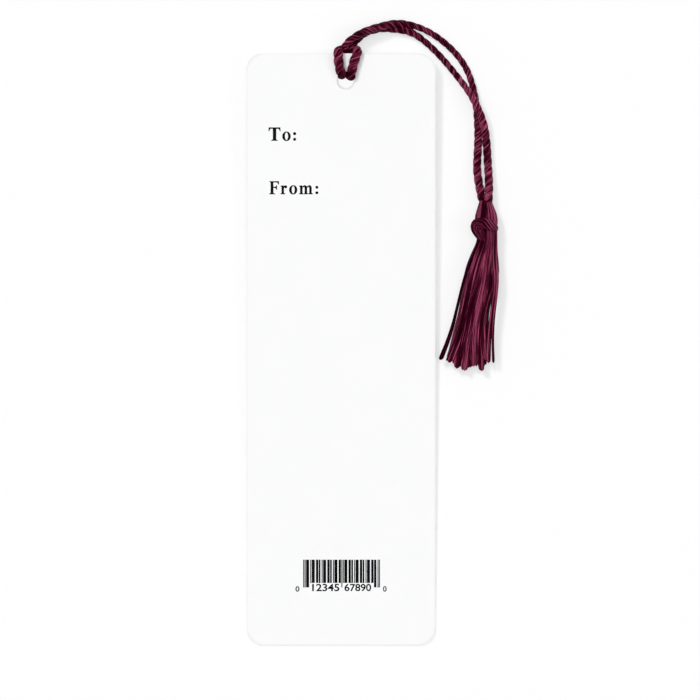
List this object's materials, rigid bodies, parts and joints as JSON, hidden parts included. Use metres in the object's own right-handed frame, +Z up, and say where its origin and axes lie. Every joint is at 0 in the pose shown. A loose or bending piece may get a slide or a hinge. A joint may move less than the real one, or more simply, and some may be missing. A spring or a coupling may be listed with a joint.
{
  "type": "bookmark",
  "caption": "Flat card bookmark with rounded corners and a punched hole, carrying a twisted cord tied in a lark's head and ending in a soft fringed tassel.",
  "frame": {"origin": "on the table, under the middle of the card as it lies with its top end lifted by the knot", "axes": "+Y along the card towards the punched end, +X to the right across the card, +Z up from the table"},
  "size_m": [0.0757, 0.1883, 0.0074],
  "materials": {
    "card": "smooth coated board, faint sheen",
    "cord": "satin twisted cord, wine red",
    "floss": "satin floss, wine red"
  },
  "bodies": {
    "card": {"card": "card", "cord_hitch": "cord"},
    "cord": {"left_strand": "cord", "right_strand": "cord"},
    "tassel": {"tassel_head": "floss", "tassel_wrap": "floss", "fringe_yarn_01": "floss", "fringe_yarn_02": "floss", "fringe_yarn_03": "floss", "fringe_yarn_04": "floss", "fringe_yarn_05": "floss", "fringe_yarn_06": "floss", "fringe_yarn_07": "floss", "fringe_yarn_08": "floss", "fringe_yarn_09": "floss", "fringe_yarn_10": "floss", "fringe_yarn_11": "floss", "fringe_yarn_12": "floss", "fringe_yarn_13": "floss", "fringe_yarn_14": "floss", "fringe_yarn_15": "floss", "fringe_yarn_16": "floss", "fringe_yarn_17": "floss", "fringe_yarn_18": "floss", "fringe_yarn_19": "floss", "fringe_yarn_20": "floss", "fringe_yarn_21": "floss", "fringe_yarn_22": "floss", "fringe_yarn_23": "floss", "fringe_yarn_24": "floss"}
  },
  "joints": [
    {"name": "cord_swing", "type": "hinge", "parent": "card", "child": "cord", "pos_m": [0.0022, 0.0922, 0.0032], "axis": [0, 0, 1], "range_deg": [0, 100], "deforming": ["left_strand", "right_strand"]},
    {"name": "tassel_turn", "type": "hinge", "parent": "cord", "child": "tassel", "pos_m": [0.04358, 0.0448, 0.0026], "axis": [0, 0, 1], "range_deg": [0, 60], "deforming": ["left_strand", "right_strand"]}
  ]
}
